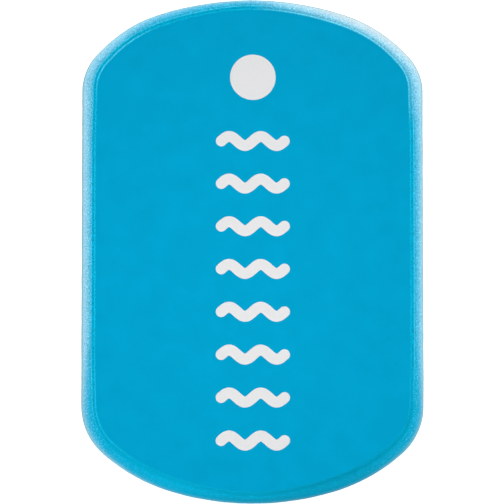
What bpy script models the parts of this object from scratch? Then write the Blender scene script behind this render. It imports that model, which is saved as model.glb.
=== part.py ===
"""A kickboard float: a swimming board laminated from three sheets of closed-cell foam.

The board lies flat on its back sheet with its printed face up. The origin is the middle of the
back face, +Z goes up through the board, and +Y points to the head end, whose corners are the
tighter ones. The two face sheets and the core are cut from one blank with a ground round edge,
so the edge runs on smoothly across the glue lines. Each face is a panel pressed very slightly
proud of a narrow flat border.
"""

import math
from collections import namedtuple

import bmesh
import bpy

# Driving dimensions, in metres.
WIDTH = 0.240
LENGTH = 0.355
THICKNESS = 0.030
FACE_SHEET = 0.005  # thickness of the front sheet and of the back sheet
FACE_INSET = 0.0093  # from the outline in to the edge of each raised face
FACE_RISE = 0.0004  # height of each face above the border round it
EDGE_INSET = 0.0065  # from the outline in to where the round edge meets the border
EDGE_LAND = 0.001  # height of the straight band at the middle of the round edge
BOND_FILM = 0.0004  # thickness of each adhesive film
BOND_MARGIN = 0.020  # from the outline in to the edge of the adhesive
INK = 0.0003  # thickness of the print
GAP = 0.0003  # between two pieces that lie together

# The print: a disc at the head end, and below it a column of waves.
DISC_RADIUS = 0.016
DISC_Y = 0.121
WAVE_COUNT = 8
WAVE_WIDTH = 0.052
WAVE_CYCLES = 2
WAVE_STROKE = 0.0076
WAVE_HEIGHT = 0.0032  # from a wave's middle line to its crest
WAVE_TOP_Y = 0.076
WAVE_PITCH = 0.030

# Each end of the outline is three arcs that run on from one another: a corner, a shoulder, and a
# crown over the tip. The crown's radius follows from the other two.
EndArcs = namedtuple("EndArcs", "corner_radius corner_sweep shoulder_radius shoulder_sweep")
HEAD_ARCS = EndArcs(0.035, math.radians(43), 0.115, math.radians(28))
TAIL_ARCS = EndArcs(0.045, math.radians(49), 0.130, math.radians(25))
ARC_STEP = math.radians(4)
DISC_STEP = math.radians(6)
WAVE_STEPS = 30
END_STEPS = 6  # facets of the round end of a stroke
EDGE_SEGMENTS = 8  # facets from the face round to the widest part
CURVED_ANGLE = math.radians(30)  # a sharper corner than this is an edge, and not part of a curve
WELD = 0.00001

# Linear colours, roughness.
FOAM_BLUE = (0.001, 0.371, 0.617, 1.0)
CORE_BLUE = (0.010, 0.400, 0.640, 1.0)
ADHESIVE_CLEAR = (0.560, 0.600, 0.520, 1.0)
INK_WHITE = (0.790, 0.775, 0.785, 1.0)


def clear_scene():
    for obj in list(bpy.data.objects):
        bpy.data.objects.remove(obj)


def new_collection(name, helpers=False):
    collection = bpy.data.collections.new(name)
    collection.hide_render = helpers
    bpy.context.scene.collection.children.link(collection)
    return collection


def material(name, colour, roughness):
    made = bpy.data.materials.new(name)
    made.use_nodes = True
    shader = made.node_tree.nodes["Principled BSDF"]
    shader.inputs["Base Color"].default_value = colour
    shader.inputs["Roughness"].default_value = roughness
    shader.inputs["Metallic"].default_value = 0.0
    return made


def arc(centre, radius, start, sweep, facet=ARC_STEP):
    """Points along an arc, without its last one."""
    steps = max(1, round(sweep / facet))
    angles = [start + sweep * step / steps for step in range(steps)]
    return [(centre[0] + radius * math.cos(a), centre[1] + radius * math.sin(a)) for a in angles]


def quarter(arcs, inset):
    """A quarter of the outline, from the end of the straight side at +X up to the tip on the Y axis."""
    corner, shoulder = arcs.corner_radius - inset, arcs.shoulder_radius - inset
    turn, full_turn = arcs.corner_sweep, arcs.corner_sweep + arcs.shoulder_sweep
    corner_x = WIDTH / 2 - inset - corner
    shoulder_x = corner_x + (corner - shoulder) * math.cos(turn)
    shoulder_y = (corner - shoulder) * math.sin(turn)
    crown = shoulder + shoulder_x / math.cos(full_turn)
    crown_y = shoulder_y + (shoulder - crown) * math.sin(full_turn)
    rise = LENGTH / 2 - inset - (crown_y + crown)
    points = arc((corner_x, 0.0), corner, 0.0, arcs.corner_sweep)
    points += arc((shoulder_x, shoulder_y), shoulder, turn, arcs.shoulder_sweep)
    points += arc((0.0, crown_y), crown, full_turn, math.pi / 2 - full_turn)
    points.append((0.0, crown_y + crown))
    return [(x, y + rise) for x, y in points]


def board_outline(inset=0.0):
    """The outline of the board moved inwards by inset, counter-clockwise."""
    head, tail = quarter(HEAD_ARCS, inset), quarter(TAIL_ARCS, inset)
    head_left = [(-x, y) for x, y in reversed(head[:-1])]
    tail_left = [(-x, -y) for x, y in tail]
    tail_right = [(x, -y) for x, y in reversed(tail[:-1])]
    return head + head_left + tail_left + tail_right


def disc_outline(grow=0.0):
    return arc((0.0, DISC_Y), DISC_RADIUS + grow, 0.0, math.tau, DISC_STEP)


def end_cap(first, last):
    """The half circle from first round to last, without those two points."""
    centre = ((first[0] + last[0]) / 2, (first[1] + last[1]) / 2)
    start = math.atan2(first[1] - centre[1], first[0] - centre[0])
    return arc(centre, math.dist(first, last) / 2, start, math.pi, math.pi / END_STEPS)[1:]


def wave_outline(middle_y, grow=0.0):
    """A wavy stroke with round ends, running from right to left along its upper side."""
    half = WAVE_STROKE / 2 + grow
    reach = (WAVE_WIDTH - WAVE_STROKE) / 2
    rate = WAVE_CYCLES * math.pi / reach
    upper, lower = [], []
    for step in range(WAVE_STEPS + 1):
        x = reach * (1 - 2 * step / WAVE_STEPS)
        y = middle_y + WAVE_HEIGHT * math.sin(rate * x)
        slope = WAVE_HEIGHT * rate * math.cos(rate * x)
        across = half / math.hypot(slope, 1.0)
        upper.append((x - slope * across, y + across))
        lower.append((x + slope * across, y - across))
    return upper + end_cap(upper[-1], lower[-1]) + lower[::-1] + end_cap(lower[0], upper[0])


def plate(name, outline, bottom, thickness, collection):
    """A flat plate with this outline, standing on the height bottom."""
    curve = bpy.data.curves.new(name, "CURVE")
    curve.dimensions = "2D"
    curve.fill_mode = "BOTH"
    curve.extrude = thickness / 2
    spline = curve.splines.new("POLY")
    spline.points.add(len(outline) - 1)
    for point, (x, y) in zip(spline.points, outline):
        point.co = (x, y, 0.0, 1.0)
    spline.use_cyclic_u = True
    drawn = bpy.data.objects.new(name, curve)
    drawn.location.z = bottom + thickness / 2
    collection.objects.link(drawn)
    return to_mesh(drawn, collection)


def to_mesh(drawn, collection):
    """A mesh object in place of an extruded curve, with welded caps that are one face each."""
    bpy.context.view_layer.update()
    evaluated = drawn.evaluated_get(bpy.context.evaluated_depsgraph_get())
    mesh = bpy.data.meshes.new_from_object(evaluated)
    shape = bmesh.new()
    shape.from_mesh(mesh)
    bmesh.ops.remove_doubles(shape, verts=shape.verts, dist=WELD)
    bmesh.ops.dissolve_limit(shape, angle_limit=math.radians(1), verts=shape.verts, edges=shape.edges)
    bmesh.ops.recalc_face_normals(shape, faces=shape.faces)
    shape.to_mesh(mesh)
    shape.free()
    name, place = drawn.name, drawn.matrix_world.copy()
    bpy.data.objects.remove(drawn)
    solid = bpy.data.objects.new(name, mesh)
    solid.matrix_world = place
    collection.objects.link(solid)
    return solid


def round_edge(solid, radius):
    """Grinds both rims of a plate round."""
    bevel = solid.modifiers.new("ground_edge", "BEVEL")
    bevel.width = radius
    bevel.segments = EDGE_SEGMENTS
    bevel.limit_method = "ANGLE"
    bevel.angle_limit = CURVED_ANGLE
    bevel.use_clamp_overlap = False


def combine(solid, cutter, operation):
    cutter.hide_render = True
    cutter.display_type = "WIRE"
    boolean = solid.modifiers.new(cutter.name, "BOOLEAN")
    boolean.operation = operation
    boolean.solver = "EXACT"
    boolean.object = cutter


def layer(name, bottom, top, parts, cutters):
    """The part of the ground blank between two heights."""
    rise = (THICKNESS - EDGE_LAND) / 2 - FACE_RISE
    edge_radius = (EDGE_INSET**2 + rise**2) / (2 * EDGE_INSET)
    blank_height = 2 * edge_radius + EDGE_LAND
    blank_bottom = (THICKNESS - blank_height) / 2
    solid = plate(name, board_outline(), blank_bottom, blank_height, parts)
    round_edge(solid, edge_radius)
    slab = plate(name + "_slab", slab_outline(), bottom, top - bottom, cutters)
    combine(solid, slab, "INTERSECT")
    return solid


def slab_outline():
    x, y = WIDTH, LENGTH
    return [(x, y), (-x, y), (-x, -y), (x, -y)]


def smooth(solid):
    solid.data.shade_smooth()
    solid.data.set_sharp_from_angle(angle=CURVED_ANGLE)


def finish_piece(solid, look, parent):
    solid.data.materials.clear()
    solid.data.materials.append(look)
    smooth(solid)
    solid.parent = parent


def raise_face(sheet, bottom, cutters):
    """Joins a panel to a sheet as its raised face. Half of the panel's thickness is inside the sheet."""
    panel = plate(sheet.name + "_panel", board_outline(FACE_INSET), bottom, 2 * FACE_RISE, cutters)
    combine(sheet, panel, "UNION")


def recess(core, name, bottom, top, cutters):
    """A shallow hollow in the core that the adhesive lies in."""
    cutter = plate(name, board_outline(BOND_MARGIN), bottom, top - bottom, cutters)
    combine(core, cutter, "DIFFERENCE")


def make_core(parts, cutters):
    core_bottom = FACE_SHEET + GAP
    core_top = THICKNESS - FACE_SHEET - GAP
    core = layer("foam_core", core_bottom, core_top, parts, cutters)
    depth = BOND_FILM + GAP
    recess(core, "front_recess", core_top - depth, core_top + depth, cutters)
    recess(core, "back_recess", core_bottom - depth, core_bottom + depth, cutters)
    return core


def make_bond_films(parts):
    outline = board_outline(BOND_MARGIN + GAP)
    front_bottom = THICKNESS - FACE_SHEET - GAP - BOND_FILM
    back_bottom = FACE_SHEET + GAP
    front = plate("front_bond_film", outline, front_bottom, BOND_FILM, parts)
    back = plate("back_bond_film", outline, back_bottom, BOND_FILM, parts)
    return [front, back]


def print_outlines(grow=0.0):
    """The name and the outline of each mark of the print."""
    marks = [("print_disc", disc_outline(grow))]
    for number in range(WAVE_COUNT):
        middle_y = WAVE_TOP_Y - WAVE_PITCH * number
        marks.append((f"print_wave_{number + 1}", wave_outline(middle_y, grow)))
    return marks


def make_front_sheet(parts, cutters):
    """The front sheet, with a shallow pocket for each mark of the print."""
    sheet = layer("front_face_sheet", THICKNESS - FACE_SHEET, THICKNESS - FACE_RISE, parts, cutters)
    raise_face(sheet, THICKNESS - 2 * FACE_RISE, cutters)
    pocket_bottom = THICKNESS - INK - GAP
    for name, outline in print_outlines(grow=GAP):
        pocket = plate(name + "_pocket", outline, pocket_bottom, THICKNESS - pocket_bottom + GAP, cutters)
        combine(sheet, pocket, "DIFFERENCE")
    return sheet


def make_back_sheet(parts, cutters):
    sheet = layer("back_face_sheet", FACE_RISE, FACE_SHEET, parts, cutters)
    raise_face(sheet, 0.0, cutters)
    return sheet


def make_print(parts):
    return [plate(name, outline, THICKNESS - INK, INK, parts) for name, outline in print_outlines()]


def main():
    clear_scene()
    parts = new_collection("kickboard_float")
    cutters = new_collection("cutters", helpers=True)
    origin = bpy.data.objects.new("kickboard_origin", None)
    parts.objects.link(origin)

    foam = material("foam_skin_blue", FOAM_BLUE, 0.55)
    core_foam = material("foam_core_blue", CORE_BLUE, 0.85)
    adhesive = material("adhesive_clear", ADHESIVE_CLEAR, 0.35)
    ink = material("ink_white", INK_WHITE, 0.50)

    front = make_front_sheet(parts, cutters)
    back = make_back_sheet(parts, cutters)
    core = make_core(parts, cutters)
    for sheet in (front, back):
        finish_piece(sheet, foam, origin)
    finish_piece(core, core_foam, origin)
    for film in make_bond_films(parts):
        finish_piece(film, adhesive, origin)
    for mark in make_print(parts):
        finish_piece(mark, ink, origin)


main()
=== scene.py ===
"""The finished look of the kickboard float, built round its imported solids.

Each foam sheet and each mark of the print gets a detailed piece in place of its plain solid.
Lengths are in metres, +Z goes up through the board and +Y points to its head end.
"""

import math
from collections import namedtuple

import bmesh
import bpy
from mathutils import Matrix, Vector, noise


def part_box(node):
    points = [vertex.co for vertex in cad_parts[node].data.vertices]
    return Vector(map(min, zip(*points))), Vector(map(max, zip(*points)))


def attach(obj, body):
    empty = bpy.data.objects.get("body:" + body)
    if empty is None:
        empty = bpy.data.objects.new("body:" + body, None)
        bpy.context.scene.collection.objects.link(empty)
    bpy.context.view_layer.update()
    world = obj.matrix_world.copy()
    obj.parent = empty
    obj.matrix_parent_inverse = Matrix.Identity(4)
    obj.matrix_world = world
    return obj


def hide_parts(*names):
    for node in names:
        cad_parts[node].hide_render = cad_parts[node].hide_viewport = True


MM = 0.001

# The outline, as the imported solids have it: each end is a corner, a shoulder and a crown.
EndArcs = namedtuple("EndArcs", "corner_radius corner_sweep shoulder_radius shoulder_sweep")
HEAD_ARCS = EndArcs(35 * MM, math.radians(43), 115 * MM, math.radians(28))
TAIL_ARCS = EndArcs(45 * MM, math.radians(49), 130 * MM, math.radians(25))
FACE_INSET = 9.3 * MM  # from the outline in to the edge of each raised face
FACE_RISE = 0.4 * MM
EDGE_INSET = 6.5 * MM  # from the outline in to where the round edge meets the flat border
EDGE_LAND = 1 * MM  # height of the straight band at the middle of the round edge
BOND_MARGIN = 20 * MM  # from the outline in to the recess that the adhesive lies in
BOND_GAP = 0.3 * MM  # between the core and each adhesive film
JOINT_GAP = 0.1 * MM  # between the core and each sheet, at the outside
JOINT_CORNER = 1.5 * MM  # from the outer end of a joint in to the first ring of its glued sides
SHARP_ANGLE = math.radians(70)  # a corner sharper than this isn't shaded smooth

# Cross-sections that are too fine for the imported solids, as (inwards, upwards) steps in mm.
GROOVE = ((-0.3, -0.32), (-0.12, -0.22))  # from the edge's inset and the border's height
LIP = ((0.0, 0.0), (0.15, 0.08), (0.35, 0.08), (0.6, 0.0))
FLAT = ((0.9, 0.0), (1.3, 0.0), (1.7, 0.0), (2.0, 0.0))
FOOT = ((-0.65, -0.03), (-0.5, 0.02))  # from the face's inset and the border's height
WALL = ((-0.3, 0.2), (-0.12, 0.36))
RIDGE = ((0.0, 0.04), (0.2, 0.06))  # from the face's inset and the face's height
DIP = ((0.6, -0.02), (1.0, -0.05))
LEVEL = ((2.0, -0.03), (4.0, 0.0))
INK_RIM = ((0.0, -0.04), (0.05, -0.01), (0.12, 0.0))  # from a mark's outline and the ink's height
EDGE_STOP = 0.45 * MM  # how far under the border the round edge gives way to the groove
BORDER_STARTS = EDGE_INSET - 0.1 * MM  # insets at which the next material takes over
FACE_STARTS = FACE_INSET + 0.3 * MM

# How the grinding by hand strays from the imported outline.
SHOULDER_X, SHOULDER_Y = 1 / 3, 0.43  # middle of a head shoulder, by the board's width and length
SHOULDER_REACH = 60 * MM  # how far round its middle a head shoulder is fuller
LEFT_FULLER = (1.4 * MM, 2 * FACE_INSET)  # how far it stands out, and how far in that fades out
RIGHT_FULLER = (0.8 * MM, 5 * FACE_INSET)
CORNER_Y = 1 / 3  # middle of a corner, by the board's length
CORNER_REACH = 50 * MM
CORNER_WIDER = 1.2 * MM  # how much wider the ground edge is at the corners
SIDES_WIDER = 0.3 * MM
TIP_REACH = 70 * MM
HEAD_TIP_NARROWER = 1.3 * MM
TAIL_TIP_NARROWER = 2.3 * MM
WIDER_FADES = (FACE_INSET + 2 * MM, 4 * FACE_INSET)  # insets over which the face makes up for it

# Torn cells, grinding marks and waves in the foam.
CELL_SIZE, CELL_RELIEF = 1.7 * MM, 0.09 * MM  # of the torn cells in the ground edge
GRINDING_SIZE, GRINDING_RELIEF = 11 * MM, 0.12 * MM
RELIEF_ENDS = (FACE_INSET - 0.6 * MM, FACE_INSET - 0.3 * MM)  # insets over which both fade out
RELIEF_STARTS = (0.1 * MM, 0.8 * MM)  # heights from a joint over which both set in
BROAD_WAVE_SIZE, BROAD_WAVE = 45 * MM, 0.07 * MM  # of the faces
CLOSE_WAVE_SIZE, CLOSE_WAVE = 14 * MM, 0.02 * MM
WAVES_START = (FACE_INSET + 1.5 * MM, FACE_INSET + 6 * MM)  # insets over which the waves set in

# The print.
WAVE_COUNT = 8
WAVE_CYCLES = 2
WAVE_STROKE = 7.6 * MM
WAVE_HEIGHT = 3.2 * MM
INK_PROUD = 0.05 * MM  # height of the ink above the face
INK_SUNK = 0.15 * MM  # depth of the ink's lower side under the face
INK_UNDER_RINGS = (1.0, 0.5, 0.0)  # insets of a mark's rings, as shares of its half-width
INK_TOP_RINGS = (0.3, 0.6, 1.0)

# The size of the meshes' facets.
EDGE_FACET = 0.8 * MM
FACE_FACET = 4 * MM
HIDDEN_FACET = 30 * MM
INK_FACET = 0.6 * MM
WELD = 0.01 * MM

# Linear colours.
SKIN_BLUE = (0.0002, 0.310, 0.534)
BORDER_BLUE = (0.001, 0.375, 0.595)
# Painted highlights along the crease, along the ridge, and along the ridge at the head's shoulders.
CREASE_HIGHLIGHT_BLUE = (0.090, 0.600, 0.850)
RIDGE_HIGHLIGHT_BLUE = (0.015, 0.470, 0.720)
SHOULDER_RIDGE_HIGHLIGHT_BLUE = (0.150, 0.740, 0.950)
GROUND_BLUE = (0.001, 0.402, 0.650)
# Painted sheen of the ground edge, the same at its whitest, and painted shade along its outline.
SHEEN_BLUE = (0.340, 0.695, 0.875)
SHEEN_WHITE = (0.640, 0.750, 0.815)
OUTLINE_SHADE_GREY = (0.310, 0.560, 0.660)
INK_WHITE = (0.688, 0.692, 0.700)
ADHESIVE_CLEAR = (0.700, 0.740, 0.620)
FLOOR_WHITE = (0.900, 0.900, 0.900)
WHITE = (1.0, 1.0, 1.0)

# Textures. A fade has two limits. Where four numbers stand, the first two turn into the last two.
GRAIN_TURN = (0.5, 0.6, 0.7)  # radians, so that no texture lines up with the board
NOISE_RANGE = (0.3, 0.7)  # where nearly all of a soft noise lies
NOISE_MIDDLE = 0.5
MIX_FIRST, MIX_SECOND, MIX_RESULT = 6, 7, 2  # a Mix node's sockets for colours

# The skin of the faces.
MOTTLE_SIZE = 16 * MM
MOTTLE_DETAIL = 4.0
MOTTLE = 0.04  # how much lighter and darker it makes the blue
PORE_SIZE = 0.9 * MM
PORE_SHARE = 0.35  # how much of the paler blue shows
PORE_PALER = 1.07
SKIN_PATCH = 5 * MM  # size of its duller patches
SKIN_ROUGHNESS = (0.52, 0.66)
SKIN_GRAIN, SKIN_GRAIN_DEPTH = 0.7 * MM, 0.01 * MM
SKIN_SPECULAR = 0.2

# The painted light on the ground edge and the border falls off from the outline inwards by a power, which is
# the falloff.
SIDE_FALLOFF = 1.0
TAIL_FALLOFF = 18.0
TAIL_POWER = 1.6  # by which it grows towards the tail
TAIL_TIP = (10 * MM, -190 * MM, 15 * MM)
TAIL_REACH = 185 * MM
TAIL_CORE = 0.3 * TAIL_REACH  # it is full up to this far from the tip
CROWN_FALLOFF = 3.0
LEFT_CROWN = (-38 * MM, 175 * MM, 15 * MM)
CROWN_REACH = 65 * MM
RIGHT_SIDE = (60 * MM, 120 * MM)  # X at which the right side's extra falloff starts, and is full
BELOW_HEAD = (140 * MM, 60 * MM)  # the same for Y, from the head down

# Places with a painted highlight, or with painted shade.
RIGHT_SHOULDER = (78 * MM, 160 * MM, 15 * MM)  # painted highlight, nearly white
SHOULDER_HIGHLIGHT_REACH = 80 * MM
RIGHT_CORNER = (105 * MM, 142 * MM, 15 * MM)
CORNER_HIGHLIGHT_REACH = 45 * MM
CORNER_HIGHLIGHT = 0.78  # where the shoulder's is 1
SHOULDER_HIGHLIGHT_FULL = 0.5  # the shoulder's painted highlight at which its ridge's painted highlight is full and its colour dimmest
SHOULDER_DULL = 0.96
# Painted shade at the tail, darkest round this point.
TAIL_SHADE_POINT = (60 * MM, -165 * MM, 15 * MM)
TAIL_SHADE_REACH = 110 * MM
TAIL_SHADE_CORE = 0.2 * TAIL_SHADE_REACH
TAIL_SHADE_DARKEST = 0.76

# The painted sheen of the ground edge. An amount over 1 whitens it.
SHEEN_INSET = 7.5 * MM  # where it ends
SHEEN_AMOUNT = 1.25
SHEEN_WHITEST = 1.9
SHEEN_AT_TAIL = 0.4
SHEEN_WANES = (8.0, 16.0)  # falloffs over which the amount goes down to that
SHEEN_GRAININESS = (0.8, 1.2)  # share of it on the lowest and the highest grains
SHOULDER_SHEEN = 1.12
SHOULDER_SHEEN_ENDS = (EDGE_INSET, 1.5 * EDGE_INSET)  # insets
SPECK_GRAINS = (0.56, 0.70, 0.0, 0.8)  # from the noise to the painted sheen of single grains
SPECKS_FADE = (4.0, 20.0)  # falloffs
SPECKS_NARROW = (4.0, 16.0, 1.0, 2.5)  # from the falloff to the power that keeps them at the outline

# The ground foam.
FOAM_GRAIN, FOAM_GRAIN_DEPTH = 0.85 * MM, 0.2 * MM
SHEET_CELL, CORE_CELL = 1.3 * MM, 1.6 * MM
CELL_PITS = (0.1, 0.6)  # distances from a cell's middle, from its floor up to its rim
CELL_PIT_DEPTH = 0.05 * MM
OUTLINE_AND_GROOVE_SHADE_AT = (2.0, 8.0, 1.0, 0.2)  # from the falloff to how much of the painted shade in the next two shows
GREY_RIM = (0.4 * MM, 1.6 * MM)  # insets over which the painted shade at the outline fades
GROOVE_LINE = (EDGE_INSET - 0.45 * MM, 0.6 * MM)  # inset and half-width of the painted shade in the groove
# How dark the painted shade in the groove makes the foam.
GROOVE_SHADE = 0.93
GROUND_SPECKLE = (1 * MM, EDGE_INSET, 0.5, 2.0)  # from the inset to the contrast of the grain
TAIL_SPECKLE = (3.0, 9.0, 1.0, 0.6)  # from the falloff to a share of that
GROUND_ROUGHNESS = 0.7
EDGE_SPECULAR = 0.1  # the border's too

# The border. Its lines along the crease and along the ridge are painted highlights. A line has an inset and a
# half-width.
CREASE_LINE = (EDGE_INSET + 0.25 * MM, 0.45 * MM)
CREASE_FADES = (2.0, 6.0)  # falloffs
CREASE_PATCH = 4 * MM
CREASE_PATCHY = (0.35, 0.6, 0.7, 1.0)  # from the noise to how much of the line shows
RIDGE_LINE = (FACE_INSET - 0.3 * MM, 0.4 * MM)
RIDGE_FADES = (1.0, 2.2)  # falloffs
LEFT_TAIL_CORNER = (-108 * MM, -108 * MM, 30 * MM)  # where the painted highlight on the ridge shows again
LEFT_TAIL_CORNER_FADE = (15 * MM, 50 * MM)  # distances from there
LEFT_TAIL_CORNER_RIDGE = 1.3
# A painted highlight along the ridge at the head's shoulders.
SHOULDER_RIDGE_LINE = (FACE_INSET - 0.2 * MM, 0.65 * MM)
LEFT_SHOULDER = (-105 * MM, 145 * MM, 30 * MM)  # where the ridge has a painted highlight as at the right shoulder
LEFT_SHOULDER_HIGHLIGHT = (10 * MM, 40 * MM, 0.6, 0.0)  # from the distance to the painted highlight
BORDER_SHEEN = (EDGE_INSET, FACE_INSET, 1.3, 0.3)  # from the inset to the painted sheen at the right shoulder
BORDER_SPECKLE = (1.0, 8.0, 1.7, 0.3)  # from the falloff to the contrast of the grain
BORDER_GRAIN, BORDER_GRAIN_DEPTH = 1.3 * MM, 0.12 * MM
BORDER_ROUGHNESS = 0.6

# The ink, the adhesive and the floor.
INK_PORE, INK_PORE_DEPTH = 0.8 * MM, 0.006 * MM
INK_THIN, INK_THICK = 0.97, 1.02  # how bright its white is there
INK_PATCH = 12 * MM
INK_ROUGHNESS = (0.5, 0.6)
INK_SPECULAR = 0.3
STREAK_SIZE = 6 * MM
STREAK_DETAIL = 5.0
STREAK_DEPTH = 0.05 * MM
STREAK_DIM = 0.85
ADHESIVE_ROUGHNESS = (0.25, 0.45)
FLOOR_MOTTLE = 0.4  # metres
FLOOR_DIM = 0.99
FLOOR_WAVE, FLOOR_WAVE_DEPTH = 0.5, 0.1 * MM
FLOOR_ROUGHNESS = 0.9
FLOOR_GLOW = 0.75

# The camera looks down on the face, a little from the tail end and from the left.
CAMERA_DISTANCE = 3.0
CAMERA_TILT = math.radians(5)
CAMERA_LEAN = math.radians(1)
CAMERA_AIM = Vector((-0.35 * MM, -0.8 * MM, 15 * MM))
VIEW_WIDTH = 0.3543  # what the square picture takes in at the board's middle height
SENSOR_WIDTH = 36.0  # mm

# The studio.
FLOOR_FLAT = 8.0  # radius of the floor's level part
FLOOR_BEND = 6.0  # radius of the bend up into its wall
FLOOR_BEND_STEP = 10  # degrees
FLOOR_TOP = 3 * FLOOR_BEND
FLOOR_FACETS = 96
FLOOR_GAP = 0.2 * MM  # under the board
WORLD_STRENGTH = 0.19
LIGHT_DISTANCE, LIGHT_SIZE = 2.5, 1.2
OVERHEAD_DISTANCE, OVERHEAD_SIZE = 0.5, 0.4

Light = namedtuple("Light", "name azimuth elevation strength")
OVERHEAD = Light("overhead", 225, 86, 0.615)
SIDE_LIGHTS = (
    Light("left", 270, 8, 0.40),
    Light("right", 90, 8, 0.56),
    Light("head", 0, 8, 0.33),
    Light("head_left", 315, 8, 0.38),
    Light("head_right", 45, 8, 0.42),
    Light("tail", 180, 15, 0.58),
)

Board = namedtuple("Board", "width length thickness")
Ring = namedtuple("Ring", "points height inset")


# --- Outlines ---------------------------------------------------------------------------------


def arc(centre, radius, start, sweep, steps):
    """Points along an arc, without its last one."""
    angles = [start + sweep * step / steps for step in range(steps)]
    return [(centre[0] + radius * math.cos(a), centre[1] + radius * math.sin(a)) for a in angles]


def facets(length, facet=EDGE_FACET):
    return max(1, round(length / facet))


def quarter(board, arcs, inset):
    """A quarter of the outline, from the end of the straight side at +X up to the tip on the Y axis."""
    corner, shoulder = arcs.corner_radius - inset, arcs.shoulder_radius - inset
    turn, full_turn = arcs.corner_sweep, arcs.corner_sweep + arcs.shoulder_sweep
    corner_x = board.width / 2 - inset - corner
    shoulder_x = corner_x + (corner - shoulder) * math.cos(turn)
    shoulder_y = (corner - shoulder) * math.sin(turn)
    crown = shoulder + shoulder_x / math.cos(full_turn)
    crown_y = shoulder_y + (shoulder - crown) * math.sin(full_turn)
    rise = board.length / 2 - inset - (crown_y + crown)
    crown_sweep = math.pi / 2 - full_turn
    corner_facets = facets(arcs.corner_radius * turn)
    shoulder_facets = facets(arcs.shoulder_radius * arcs.shoulder_sweep)
    crown_facets = facets((crown + inset) * crown_sweep)
    points = arc((corner_x, 0.0), corner, 0.0, turn, corner_facets)
    points += arc((shoulder_x, shoulder_y), shoulder, turn, arcs.shoulder_sweep, shoulder_facets)
    points += arc((0.0, crown_y), crown, full_turn, crown_sweep, crown_facets)
    points.append((0.0, crown_y + crown))
    return [(x, y + rise) for x, y in points]


def straight(start, end):
    """Points along a straight side, without either end."""
    steps = facets(math.dist(start, end))
    return [(start[0], start[1] + (end[1] - start[1]) * step / steps) for step in range(1, steps)]


def board_outline(board, inset):
    """The outline moved inwards, counter-clockwise, with equally many points at every inset."""
    head, tail = quarter(board, HEAD_ARCS, inset), quarter(board, TAIL_ARCS, inset)
    head_left = [(-x, y) for x, y in reversed(head[:-1])]
    tail_left = [(-x, -y) for x, y in tail]
    tail_right = [(x, -y) for x, y in reversed(tail[:-1])]
    left_side = straight(head_left[-1], tail_left[0])
    right_side = straight(tail_right[-1], head[0])
    return head + head_left + left_side + tail_left + tail_right + right_side


def end_cap(first, last, steps):
    """The half circle from first round to last, without those two points."""
    centre = ((first[0] + last[0]) / 2, (first[1] + last[1]) / 2)
    start = math.atan2(first[1] - centre[1], first[0] - centre[0])
    return arc(centre, math.dist(first, last) / 2, start, math.pi, steps)[1:]


def wave_outline(middle_y, width, inset):
    """A wavy stroke with round ends, moved inwards, from right to left along its upper side."""
    half = WAVE_STROKE / 2 - inset
    reach = (width - WAVE_STROKE) / 2
    rate = WAVE_CYCLES * math.pi / reach
    steps = facets(2 * reach, INK_FACET)
    cap_steps = facets(math.pi * WAVE_STROKE / 2, INK_FACET)
    upper, lower = [], []
    for step in range(steps + 1):
        x = reach * (1 - 2 * step / steps)
        y = middle_y + WAVE_HEIGHT * math.sin(rate * x)
        slope = WAVE_HEIGHT * rate * math.cos(rate * x)
        across = half / math.hypot(slope, 1.0)
        upper.append((x - slope * across, y + across))
        lower.append((x + slope * across, y - across))
    left_cap = end_cap(upper[-1], lower[-1], cap_steps)
    right_cap = end_cap(lower[0], upper[0], cap_steps)
    return upper + left_cap + lower[::-1] + right_cap


def disc_outline(middle_y, radius, inset):
    steps = facets(math.tau * radius, INK_FACET)
    return arc((0.0, middle_y), radius - inset, 0.0, math.tau, steps)


# --- Lofted solids ----------------------------------------------------------------------------


def loft(name, rings, materials, material_of=None):
    """A mesh through rings of equally many points. It keeps each ring's inset as a point attribute."""
    count = len(rings[0].points)
    points = [(x, y, ring.height) for ring in rings for x, y in ring.points]
    faces = []
    for level in range(len(rings) - 1):
        lower, upper = level * count, (level + 1) * count
        for column in range(count):
            after = (column + 1) % count
            faces.append((lower + column, lower + after, upper + after, upper + column))
    mesh = bpy.data.meshes.new(name)
    mesh.from_pydata(points, [], faces)
    insets = mesh.attributes.new("inset", "FLOAT", "POINT")
    insets.data.foreach_set("value", [ring.inset for ring in rings for _ in ring.points])
    for material in materials:
        mesh.materials.append(material)
    if material_of:
        slots = [material_of(ring) for ring in rings[:-1] for _ in ring.points]
        mesh.polygons.foreach_set("material_index", slots)
    piece = bpy.data.objects.new(name, mesh)
    bpy.context.scene.collection.objects.link(piece)
    return piece


def insets_of(piece):
    return [item.value for item in piece.data.attributes["inset"].data]


def close_up(piece):
    """Welds the points that fell together on a middle line, and turns every face outwards."""
    shape = bmesh.new()
    shape.from_mesh(piece.data)
    bmesh.ops.remove_doubles(shape, verts=shape.verts, dist=WELD)
    bmesh.ops.recalc_face_normals(shape, faces=shape.faces)
    shape.to_mesh(piece.data)
    shape.free()
    piece.data.shade_smooth()
    piece.data.set_sharp_from_angle(angle=SHARP_ANGLE)


def nearest_on_spine(board, y):
    """The nearest place to y on the middle line that the rings of a face close on."""
    reach = (board.length - board.width) / 2
    return max(-reach, min(reach, y))


def face_fill(board, inset, height, facet):
    """Rings that fill a face, from the outline at this inset in to the board's middle line."""
    outline = board_outline(board, inset)
    depth = board.width / 2 - inset
    steps = facets(depth, facet)
    rings = []
    for step in range(1, steps + 1):
        share = step / steps
        points = [(x * (1 - share), y + (nearest_on_spine(board, y) - y) * share) for x, y in outline]
        rings.append(Ring(points, height, inset + depth * share))
    return rings


def profile_rings(board, profile):
    return [Ring(board_outline(board, inset), height, inset) for inset, height in profile]


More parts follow.
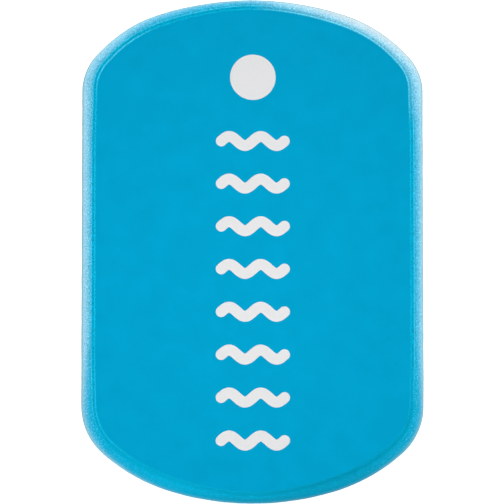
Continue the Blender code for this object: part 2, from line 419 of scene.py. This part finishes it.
def section_at(steps, inset, height):
    """(inset, height) pairs of a cross-section whose steps count from this inset and height."""
    return [(inset + inwards * MM, height + upwards * MM) for inwards, upwards in steps]


def edge_profile(board, low, high):
    """(inset, height) pairs up the round edge between two heights."""
    middle = board.thickness / 2
    rise = middle - EDGE_LAND / 2 - FACE_RISE
    radius = (EDGE_INSET**2 + rise**2) / (2 * EDGE_INSET)
    steps = facets(high - low)
    profile = []
    for step in range(steps + 1):
        height = low + (high - low) * step / steps
        off_land = max(0.0, abs(height - middle) - EDGE_LAND / 2)
        profile.append((radius - math.sqrt(radius**2 - off_land**2), height))
    return profile


# --- Foam -------------------------------------------------------------------------------------


def packed_board():
    """The board's size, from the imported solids. Its back lies at height 0."""
    core_low, core_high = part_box("foam_core")
    size = core_high - core_low
    return Board(size.x, size.y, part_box("front_face_sheet")[1].z)


def border_profile(board):
    """(inset, height) pairs over the crease, the flat border and the ridge round a raised face.

    At the crease the pressed skin stands proud of the ground foam.
    """
    border = board.thickness - FACE_RISE
    crease = section_at(GROOVE + LIP + FLAT, EDGE_INSET, border)
    wall = section_at(FOOT + WALL, FACE_INSET, border)
    return crease + wall + section_at(RIDGE + DIP + LEVEL, FACE_INSET, board.thickness)


def sheet_rings(board, joint_height):
    """The rings of a face sheet from the middle of its glued side, round its edge, to its face's middle."""
    edge = edge_profile(board, joint_height, board.thickness - FACE_RISE - EDGE_STOP)
    profile = [(edge[0][0] + JOINT_CORNER, joint_height)] + edge + border_profile(board)
    glued_side = face_fill(board, profile[0][0], joint_height, HIDDEN_FACET)[::-1]
    face = face_fill(board, profile[-1][0], board.thickness, FACE_FACET)
    return glued_side + profile_rings(board, profile) + face


def face_wave(x, y, seed=0.0):
    """The slight unevenness of a pressed foam face."""
    place = Vector((x, y, seed))
    broad, close = noise.noise(place / BROAD_WAVE_SIZE), noise.noise(place / CLOSE_WAVE_SIZE)
    return BROAD_WAVE * broad + CLOSE_WAVE * close


def smooth_step(value, low, high):
    share = max(0.0, min(1.0, (value - low) / (high - low)))
    return share * share * (3 - 2 * share)


def soften_face(sheet, board, seed):
    """Gives the raised face its unevenness, which fades out at the pressed edge."""
    for vertex, inset in zip(sheet.data.vertices, insets_of(sheet)):
        if vertex.co.z > board.thickness - FACE_RISE:
            fade = smooth_step(inset, *WAVES_START)
            vertex.co.z += fade * face_wave(vertex.co.x, vertex.co.y, seed)


def roughen(piece, joint_heights):
    """Moves the points of the ground edge in and out, as the torn cells of cut foam stand."""
    piece.data.update()
    moves = []
    for vertex, inset in zip(piece.data.vertices, insets_of(piece)):
        from_joint = min(abs(vertex.co.z - height) for height in joint_heights)
        fade = 1 - smooth_step(inset, *RELIEF_ENDS)
        fade *= smooth_step(from_joint, *RELIEF_STARTS)
        cells = CELL_RELIEF * noise.noise(vertex.co / CELL_SIZE)
        grinding = GRINDING_RELIEF * noise.noise(vertex.co / GRINDING_SIZE)
        moves.append(vertex.normal * fade * (cells + grinding))
    for vertex, move in zip(piece.data.vertices, moves):
        vertex.co += move


def edge_wider(board, x, y):
    """How much wider than drawn the ground edge is, near a point of the outline."""
    from_corner = math.hypot(abs(x) - board.width / 2, abs(y) - CORNER_Y * board.length)
    at_corner = 1 - smooth_step(from_corner, 0.0, CORNER_REACH)
    at_tip = 1 - smooth_step(abs(x), 0.0, TIP_REACH)
    tip_narrower = HEAD_TIP_NARROWER if y > 0 else TAIL_TIP_NARROWER
    return SIDES_WIDER + CORNER_WIDER * at_corner - tip_narrower * at_tip


def shoulder_fuller(board, x, y, inset):
    """How far out a point near a head shoulder was left. On the right, the face reaches out with it."""
    from_shoulder = math.hypot(abs(x) - SHOULDER_X * board.width, y - SHOULDER_Y * board.length)
    at_shoulder = 1 - smooth_step(from_shoulder, 0.0, SHOULDER_REACH)
    fuller, fades_at = LEFT_FULLER if x < 0 else RIGHT_FULLER
    return fuller * at_shoulder * (1 - smooth_step(inset, 0.0, fades_at))


def grind_unevenly(piece, board):
    """Strays from the drawn outline as grinding by hand does, at the head's shoulders and along the edge."""
    for vertex, inset in zip(piece.data.vertices, insets_of(piece)):
        x, y = vertex.co.x, vertex.co.y
        outwards = Vector((x, y - nearest_on_spine(board, y), 0.0)).normalized()
        fade = smooth_step(inset, 0.0, EDGE_INSET) * (1 - smooth_step(inset, *WIDER_FADES))
        vertex.co += outwards * (shoulder_fuller(board, x, y, inset) - edge_wider(board, x, y) * fade)


def finish_foam(piece, board, joint_heights):
    """Grinds a lofted foam piece unevenly, closes its mesh up and tears the cells of its edge."""
    grind_unevenly(piece, board)
    close_up(piece)
    roughen(piece, joint_heights)
    return piece


def zone_of(ring):
    """Which of a sheet's materials starts at a ring: 0 the ground edge, 1 the border, 2 the face."""
    return int(ring.inset > BORDER_STARTS) + int(ring.inset > FACE_STARTS)


def make_front_sheet(board, looks):
    """The front sheet: a raised face inside a flat border, and its part of the round edge."""
    joint_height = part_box("front_face_sheet")[0].z
    sheet = loft("front_foam_sheet", sheet_rings(board, joint_height), looks, zone_of)
    soften_face(sheet, board, 0.0)
    return finish_foam(sheet, board, [joint_height])


def make_back_sheet(board, looks):
    """The back sheet, made as the front one and turned over."""
    joint_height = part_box("back_face_sheet")[1].z
    rings = sheet_rings(board, board.thickness - joint_height)
    sheet = loft("back_foam_sheet", rings, looks, zone_of)
    soften_face(sheet, board, 1.0)
    for vertex in sheet.data.vertices:
        vertex.co.z = board.thickness - vertex.co.z
    return finish_foam(sheet, board, [joint_height])


def make_core(board, ground):
    """The thick middle sheet, which has a recess on each side for the adhesive."""
    low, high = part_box("back_face_sheet")[1].z + JOINT_GAP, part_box("front_face_sheet")[0].z - JOINT_GAP
    recess_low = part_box("back_bond_film")[1].z + BOND_GAP
    recess_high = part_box("front_bond_film")[0].z - BOND_GAP
    edge = edge_profile(board, low, high)
    side = edge[0][0] + JOINT_CORNER
    under = [(BOND_MARGIN, recess_low), (BOND_MARGIN, low), (side, low)]
    over = [(side, high), (BOND_MARGIN, high), (BOND_MARGIN, recess_high)]
    rings = face_fill(board, BOND_MARGIN, recess_low, HIDDEN_FACET)[::-1]
    rings += profile_rings(board, under + edge + over)
    rings += face_fill(board, BOND_MARGIN, recess_high, HIDDEN_FACET)
    return finish_foam(loft("foam_core_block", rings, (ground,)), board, [low, high])


# --- Print ------------------------------------------------------------------------------------


def lay_ink(name, face_height, outline_at, depth, ink):
    """A thin film of ink on the face. outline_at gives its outline at an inset, and depth its half-width."""
    top, bottom = face_height + INK_PROUD, face_height - INK_SUNK
    under = [(depth * share, bottom) for share in INK_UNDER_RINGS]
    over = section_at(INK_RIM, 0.0, top) + [(depth * share, top) for share in INK_TOP_RINGS]
    rings = [Ring(outline_at(inset), height, inset) for inset, height in under + over]
    mark = loft(name, rings, (ink,))
    for vertex in mark.data.vertices:
        vertex.co.z += face_wave(vertex.co.x, vertex.co.y)
    close_up(mark)
    return mark


def make_disc(board, ink):
    low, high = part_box("print_disc")
    middle_y, radius = (low.y + high.y) / 2, (high.x - low.x) / 2

    def outline_at(inset):
        return disc_outline(middle_y, radius, inset)

    return lay_ink("ink_disc", board.thickness, outline_at, radius, ink)


def make_wave(board, number, ink):
    low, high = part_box(f"print_wave_{number}")
    middle_y, width = (low.y + high.y) / 2, high.x - low.x

    def outline_at(inset):
        return wave_outline(middle_y, width, inset)

    return lay_ink(f"ink_wave_{number}", board.thickness, outline_at, WAVE_STROKE / 2, ink)


# --- Materials --------------------------------------------------------------------------------


class Look:
    """A material, with short calls that add its texture nodes. Texture sizes are in metres."""

    def __init__(self, name):
        self.material = bpy.data.materials.new(name)
        self.material.use_nodes = True
        self.tree = self.material.node_tree
        self.shader = self.tree.nodes["Principled BSDF"]
        self.place = self.node("ShaderNodeTexCoord", {}).outputs["Object"]
        turned = {"Vector": self.place, "Rotation": GRAIN_TURN}
        self.turned = self.node("ShaderNodeMapping", turned).outputs["Vector"]

    def node(self, kind, inputs, **settings):
        made = self.tree.nodes.new(kind)
        for setting, value in settings.items():
            setattr(made, setting, value)
        for socket, value in inputs.items():
            self.feed(made.inputs[socket], value)
        return made

    def feed(self, socket, value):
        """Links an output to the socket, or sets its fixed value."""
        if isinstance(value, bpy.types.NodeSocket):
            self.tree.links.new(value, socket)
        else:
            socket.default_value = value

    def grain(self, size, detail=2.0):
        """Soft noise from 0 to 1, with grains of about this size."""
        inputs = {"Vector": self.turned, "Scale": 1 / size, "Detail": detail}
        return self.node("ShaderNodeTexNoise", inputs).outputs["Fac"]

    def cells(self, size):
        """Distance to the middle of the nearest cell, from 0 to about 0.7."""
        inputs = {"Vector": self.turned, "Scale": 1 / size}
        return self.node("ShaderNodeTexVoronoi", inputs).outputs["Distance"]

    def remap(self, value, low, high, new_low, new_high):
        inputs = {"Value": value, "From Min": low, "From Max": high, "To Min": new_low, "To Max": new_high}
        return self.node("ShaderNodeMapRange", inputs).outputs["Result"]

    def rise(self, value, start, end):
        """0 where value is at start, rising to 1 at end."""
        return self.remap(value, start, end, 0.0, 1.0)

    def fall(self, value, start, end):
        """1 where value is at start, falling to 0 at end."""
        return self.remap(value, start, end, 1.0, 0.0)

    def maths(self, operation, first, second=0.0):
        inputs = {0: first, 1: second}
        return self.node("ShaderNodeMath", inputs, operation=operation).outputs["Value"]

    def times(self, first, second):
        return self.maths("MULTIPLY", first, second)

    def plus(self, first, second):
        return self.maths("ADD", first, second)

    def along(self, axis):
        return self.node("ShaderNodeSeparateXYZ", {"Vector": self.place}).outputs[axis]

    def distance(self, point):
        inputs = {0: self.place, 1: point}
        return self.node("ShaderNodeVectorMath", inputs, operation="DISTANCE").outputs["Value"]

    def inset(self):
        return self.node("ShaderNodeAttribute", {}, attribute_name="inset").outputs["Fac"]

    def line(self, inset, half_width):
        """1 at this inset all round the board, falling to 0 at half_width from it."""
        away = self.maths("ABSOLUTE", self.maths("SUBTRACT", self.inset(), inset))
        return self.fall(away, 0.0, half_width)

    def blend(self, factor, first, second):
        inputs = {"Factor": factor, MIX_FIRST: as_colour(first), MIX_SECOND: as_colour(second)}
        return self.node("ShaderNodeMix", inputs, data_type="RGBA").outputs[MIX_RESULT]

    def scaled(self, colour, factor):
        inputs = {"Vector": colour, "Scale": factor}
        return self.node("ShaderNodeVectorMath", inputs, operation="SCALE").outputs["Vector"]

    def bump(self, height, depth, below=None):
        inputs = {"Height": height, "Distance": depth, "Strength": 1.0}
        if below:
            inputs["Normal"] = below
        return self.node("ShaderNodeBump", inputs).outputs["Normal"]

    def finish(self, colour, roughness, normal, **fixed):
        """Wires up the shader. Fixed values go on its own sockets."""
        wired = {"Base Color": colour, "Roughness": roughness, "Normal": normal}
        for socket, value in wired.items():
            self.feed(self.shader.inputs[socket], value)
        for socket, value in fixed.items():
            self.shader.inputs[socket.replace("_", " ")].default_value = value
        return self.material


def as_colour(value):
    """A texture's output as it is, or red, green and blue with their alpha."""
    return value if isinstance(value, bpy.types.NodeSocket) else (*value, 1.0)


def shade(colour, factor):
    return tuple(channel * factor for channel in colour)


def matt(colour, level):
    """The shader's fixed values for a weak gloss that takes the colour of the foam."""
    return {"Specular_IOR_Level": level, "Specular_Tint": (*colour, 1.0)}


def skin_look():
    """The smooth, matt skin of a pressed foam face."""
    look = Look("foam_skin")
    mottle = look.rise(look.grain(MOTTLE_SIZE, MOTTLE_DETAIL), *NOISE_RANGE)
    pores = look.rise(look.grain(PORE_SIZE), *NOISE_RANGE)
    broad = look.blend(mottle, shade(SKIN_BLUE, 1 - MOTTLE), shade(SKIN_BLUE, 1 + MOTTLE))
    colour = look.blend(look.times(pores, PORE_SHARE), broad, shade(SKIN_BLUE, PORE_PALER))
    roughness = look.remap(look.grain(SKIN_PATCH), *NOISE_RANGE, *SKIN_ROUGHNESS)
    normal = look.bump(look.grain(SKIN_GRAIN), SKIN_GRAIN_DEPTH)
    return look.finish(colour, roughness, normal, **matt(SKIN_BLUE, SKIN_SPECULAR))


def painted_light_falloff(look):
    """The power by which the painted light falls off inwards: least along the left side, and most at the
    tail.
    """
    from_tail = look.fall(look.distance(TAIL_TIP), TAIL_CORE, TAIL_REACH)
    tail = look.times(look.maths("POWER", from_tail, TAIL_POWER), TAIL_FALLOFF)
    right = look.times(look.rise(look.along("X"), *RIGHT_SIDE), look.rise(look.along("Y"), *BELOW_HEAD))
    crown = look.remap(look.distance(LEFT_CROWN), 0.0, CROWN_REACH, CROWN_FALLOFF, SIDE_FALLOFF)
    return look.plus(look.maths("MAXIMUM", tail, right), crown)


def shoulder_highlight(look):
    """The mask of the painted highlight: 1 at the head's right shoulder, nearly that at its right corner,
    falling to 0 around them.
    """
    shoulder = look.fall(look.distance(RIGHT_SHOULDER), 0.0, SHOULDER_HIGHLIGHT_REACH)
    corner = look.remap(look.distance(RIGHT_CORNER), 0.0, CORNER_HIGHLIGHT_REACH, CORNER_HIGHLIGHT, 0.0)
    return look.maths("MAXIMUM", shoulder, corner)


def speckled_and_shaded(look, colour, speckle, contrast):
    """The colour with a speckle of this contrast, darkened by painted shade at the tail and dimmed slightly
    at the shoulder's painted highlight.
    """
    tail = look.remap(look.distance(TAIL_SHADE_POINT), TAIL_SHADE_CORE, TAIL_SHADE_REACH, TAIL_SHADE_DARKEST, 1.0)
    shoulder = look.remap(shoulder_highlight(look), 0.0, SHOULDER_HIGHLIGHT_FULL, 1.0, SHOULDER_DULL)
    around_one = look.plus(look.times(look.maths("SUBTRACT", speckle, NOISE_MIDDLE), contrast), 1.0)
    return look.scaled(colour, look.times(look.times(tail, shoulder), around_one))


def crease_highlight(look, falloff):
    """A patchy painted highlight along the crease, where the painted sheen on the ground edge is strong."""
    patchy = look.remap(look.grain(CREASE_PATCH), *CREASE_PATCHY)
    crease = look.times(look.line(*CREASE_LINE), look.fall(falloff, *CREASE_FADES))
    return look.times(crease, patchy)


def ridge_highlight(look, falloff):
    """A painted highlight along the ridge of the face, where the painted light reaches far in and at the
    tail's left corner.
    """
    corner = look.fall(look.distance(LEFT_TAIL_CORNER), *LEFT_TAIL_CORNER_FADE)
    corner = look.times(corner, LEFT_TAIL_CORNER_RIDGE)
    shows = look.maths("MAXIMUM", look.fall(falloff, *RIDGE_FADES), corner)
    return look.times(look.line(*RIDGE_LINE), shows)


def shoulder_ridge_highlight(look, shoulder):
    """A broader painted highlight along the ridge, at both of the head's shoulders."""
    left_shoulder = look.remap(look.distance(LEFT_SHOULDER), *LEFT_SHOULDER_HIGHLIGHT)
    highlight_share = look.maths("MAXIMUM", look.rise(shoulder, 0.0, SHOULDER_HIGHLIGHT_FULL), left_shoulder)
    return look.times(highlight_share, look.line(*SHOULDER_RIDGE_LINE))


def border_look():
    """The pressed border round a face, with painted highlights along the crease and along the ridge of the
    face, painted sheen at the head's right shoulder, and painted shade at the tail.
    """
    look = Look("foam_border")
    falloff, shoulder = painted_light_falloff(look), shoulder_highlight(look)
    crease_highlighted = look.blend(crease_highlight(look, falloff), BORDER_BLUE, CREASE_HIGHLIGHT_BLUE)
    ridge_highlighted = look.blend(ridge_highlight(look, falloff), crease_highlighted, RIDGE_HIGHLIGHT_BLUE)
    pale = look.times(shoulder, look.remap(look.inset(), *BORDER_SHEEN))
    sheened = look.blend(pale, ridge_highlighted, SHEEN_BLUE)
    painted_light = look.blend(shoulder_ridge_highlight(look, shoulder), sheened, SHOULDER_RIDGE_HIGHLIGHT_BLUE)
    contrast = look.remap(falloff, *BORDER_SPECKLE)
    colour = speckled_and_shaded(look, painted_light, look.grain(FOAM_GRAIN), contrast)
    normal = look.bump(look.times(look.grain(BORDER_GRAIN), contrast), BORDER_GRAIN_DEPTH)
    return look.finish(colour, BORDER_ROUGHNESS, normal, **matt(BORDER_BLUE, EDGE_SPECULAR))


def specks_of(look, falloff, grain, stands_out):
    """Painted sheen on single grains. Towards the tail it is weaker, and keeps closer to the outline."""
    specks = look.times(look.remap(grain, *SPECK_GRAINS), look.fall(falloff, *SPECKS_FADE))
    return look.times(specks, look.maths("POWER", stands_out, look.remap(falloff, *SPECKS_NARROW)))


def sheen_of(look, falloff, grain):
    """How much painted sheen the ground edge has: most where it stands out, and all over the right shoulder.
    """
    stands_out = look.fall(look.inset(), 0.0, SHEEN_INSET)
    most = look.remap(falloff, *SHEEN_WANES, SHEEN_AMOUNT, SHEEN_AT_TAIL)
    even = look.times(look.maths("POWER", stands_out, falloff), most)
    uneven = look.times(even, look.remap(grain, *NOISE_RANGE, *SHEEN_GRAININESS))
    shoulder = look.times(shoulder_highlight(look), SHOULDER_SHEEN)
    shoulder = look.times(shoulder, look.fall(look.inset(), *SHOULDER_SHEEN_ENDS))
    return look.plus(look.plus(uneven, shoulder), specks_of(look, falloff, grain, stands_out))


def ground_look(name, cell):
    """The grainy cut surface of foam, whitened by painted sheen towards the outline, with painted shade along
    the outline, in the groove and at the tail.
    """
    look = Look(name)
    grain, falloff = look.grain(FOAM_GRAIN), painted_light_falloff(look)
    sheen_level = sheen_of(look, falloff, grain)
    sheened = look.blend(look.maths("MINIMUM", sheen_level, 1.0), GROUND_BLUE, SHEEN_BLUE)
    whitened = look.blend(look.rise(sheen_level, 1.0, SHEEN_WHITEST), sheened, SHEEN_WHITE)
    # How much of the painted shade along the outline and in the groove shows.
    painted_light = look.remap(falloff, *OUTLINE_AND_GROOVE_SHADE_AT)
    outline_shade = look.times(look.fall(look.inset(), *GREY_RIM), painted_light)
    outline_shaded = look.blend(outline_shade, whitened, OUTLINE_SHADE_GREY)
    groove_shade = look.times(look.line(*GROOVE_LINE), painted_light)
    groove_shaded = look.scaled(outline_shaded, look.remap(groove_shade, 0.0, 1.0, 1.0, GROOVE_SHADE))
    contrast = look.times(look.remap(look.inset(), *GROUND_SPECKLE), look.remap(falloff, *TAIL_SPECKLE))
    colour = speckled_and_shaded(look, groove_shaded, grain, contrast)
    pits = look.rise(look.cells(cell), *CELL_PITS)
    normal = look.bump(look.times(grain, contrast), FOAM_GRAIN_DEPTH)
    normal = look.bump(pits, CELL_PIT_DEPTH, normal)
    return look.finish(colour, GROUND_ROUGHNESS, normal, **matt(GROUND_BLUE, EDGE_SPECULAR))


def ink_look():
    """Matt white screen ink, slightly thinner where it missed the pores of the foam."""
    look = Look("ink_white")
    pores = look.rise(look.grain(INK_PORE), *NOISE_RANGE)
    colour = look.blend(pores, shade(INK_WHITE, INK_THIN), shade(INK_WHITE, INK_THICK))
    roughness = look.remap(look.grain(INK_PATCH), *NOISE_RANGE, *INK_ROUGHNESS)
    normal = look.bump(pores, INK_PORE_DEPTH)
    return look.finish(colour, roughness, normal, Specular_IOR_Level=INK_SPECULAR)


def adhesive_look():
    """Clear contact adhesive, streaky from the brush."""
    look = Look("adhesive_clear")
    streaks = look.rise(look.grain(STREAK_SIZE, STREAK_DETAIL), *NOISE_RANGE)
    colour = look.blend(streaks, shade(ADHESIVE_CLEAR, STREAK_DIM), ADHESIVE_CLEAR)
    roughness = look.remap(streaks, 0.0, 1.0, *ADHESIVE_ROUGHNESS)
    return look.finish(colour, roughness, look.bump(streaks, STREAK_DEPTH))


def floor_look():
    """Pale frosted sheet, lit from underneath."""
    look = Look("floor_white")
    colour = look.blend(look.grain(FLOOR_MOTTLE), shade(FLOOR_WHITE, FLOOR_DIM), FLOOR_WHITE)
    normal = look.bump(look.grain(FLOOR_WAVE), FLOOR_WAVE_DEPTH)
    glow = {"Emission_Color": (*WHITE, 1.0), "Emission_Strength": FLOOR_GLOW}
    return look.finish(colour, FLOOR_ROUGHNESS, normal, Specular_IOR_Level=0.0, **glow)


# --- The studio -------------------------------------------------------------------------------


def make_floor():
    """A level floor that curves up into a wall all round, far from the board."""
    turns = [math.radians(angle) for angle in range(0, 90 + FLOOR_BEND_STEP, FLOOR_BEND_STEP)]
    bend = [(FLOOR_FLAT + FLOOR_BEND * math.sin(a), FLOOR_BEND * (1 - math.cos(a))) for a in turns]
    profile = [(0.0, 0.0)] + bend + [(FLOOR_FLAT + FLOOR_BEND, FLOOR_TOP)]
    rings = []
    for radius, height in profile:
        rings.append(Ring(arc((0.0, 0.0), radius, 0.0, math.tau, FLOOR_FACETS), height, 0.0))
    floor = loft("floor", rings, (floor_look(),))
    close_up(floor)
    floor.data.flip_normals()
    floor.location.z = -FLOOR_GAP
    floor.visible_glossy = False
    floor.visible_diffuse = False


def soft_light(light, distance, size):
    """A square studio light that faces the board. Azimuth 0 is at +Y and 90 at +X, in degrees.

    Its strength is the light that falls on a surface turned to it, where a white world of strength 1 gives 1.
    """
    turn, lift = math.radians(light.azimuth), math.radians(light.elevation)
    direction = Vector((math.sin(turn) * math.cos(lift), math.cos(turn) * math.cos(lift), math.sin(lift)))
    data = bpy.data.lights.new(light.name, "AREA")
    data.shape = "SQUARE"
    data.size = size
    data.energy = light.strength * (math.pi * distance) ** 2
    lamp = bpy.data.objects.new(light.name, data)
    lamp.location = direction * distance
    lamp.rotation_mode = "QUATERNION"
    lamp.rotation_quaternion = direction.to_track_quat("Z", "Y")
    lamp.visible_camera = False
    bpy.context.scene.collection.objects.link(lamp)


def make_lights():
    """Soft light from overhead and from nearly all sides, as in a light tent."""
    world = bpy.data.worlds.new("studio")
    world.use_nodes = True
    background = world.node_tree.nodes["Background"]
    background.inputs["Color"].default_value = (*WHITE, 1.0)
    background.inputs["Strength"].default_value = WORLD_STRENGTH
    bpy.context.scene.world = world
    soft_light(OVERHEAD, OVERHEAD_DISTANCE, OVERHEAD_SIZE)
    for light in SIDE_LIGHTS:
        soft_light(light, LIGHT_DISTANCE, LIGHT_SIZE)


def make_camera():
    """The camera, square on the board but for its tilt and lean, with the head end up."""
    back = Vector((-math.sin(CAMERA_LEAN), -math.sin(CAMERA_TILT), math.cos(CAMERA_TILT))).normalized()
    right = Vector((0.0, 1.0, 0.0)).cross(back).normalized()
    turn = Matrix((right, back.cross(right), back)).transposed()
    data = bpy.data.cameras.new("camera")
    data.sensor_width = SENSOR_WIDTH
    data.lens = SENSOR_WIDTH * CAMERA_DISTANCE / VIEW_WIDTH
    camera = bpy.data.objects.new("camera", data)
    camera.location = CAMERA_AIM + back * CAMERA_DISTANCE
    camera.rotation_mode = "QUATERNION"
    camera.rotation_quaternion = turn.to_quaternion()
    bpy.context.scene.collection.objects.link(camera)
    bpy.context.scene.camera = camera


# --- The object -------------------------------------------------------------------------------


def add_foam(piece, node):
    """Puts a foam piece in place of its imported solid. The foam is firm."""
    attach(piece, "root")
    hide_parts(node)


def add_ink(piece, node):
    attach(piece, "root")
    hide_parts(node)


def repaint(frame, node, material):
    for slot in frame["nodes"][node].material_slots:
        slot.material = material


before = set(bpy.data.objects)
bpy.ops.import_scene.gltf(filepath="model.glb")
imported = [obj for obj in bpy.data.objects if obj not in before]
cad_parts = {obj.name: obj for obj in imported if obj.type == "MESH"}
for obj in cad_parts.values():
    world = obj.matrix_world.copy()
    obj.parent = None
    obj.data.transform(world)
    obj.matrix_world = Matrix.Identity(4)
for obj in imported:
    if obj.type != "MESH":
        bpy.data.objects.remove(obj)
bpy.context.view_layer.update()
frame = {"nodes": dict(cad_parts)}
board = packed_board()

sheet_looks = (ground_look("ground_foam", SHEET_CELL), border_look(), skin_look())
add_foam(make_front_sheet(board, sheet_looks), "front_face_sheet")
add_foam(make_core(board, ground_look("ground_core", CORE_CELL)), "foam_core")
add_foam(make_back_sheet(board, sheet_looks), "back_face_sheet")

ink = ink_look()
add_ink(make_disc(board, ink), "print_disc")
for number in range(1, WAVE_COUNT + 1):
    add_ink(make_wave(board, number, ink), f"print_wave_{number}")

adhesive = adhesive_look()
repaint(frame, "front_bond_film", adhesive)
repaint(frame, "back_bond_film", adhesive)

make_floor()
make_lights()
make_camera()
bpy.context.scene.view_settings.view_transform = "Standard"
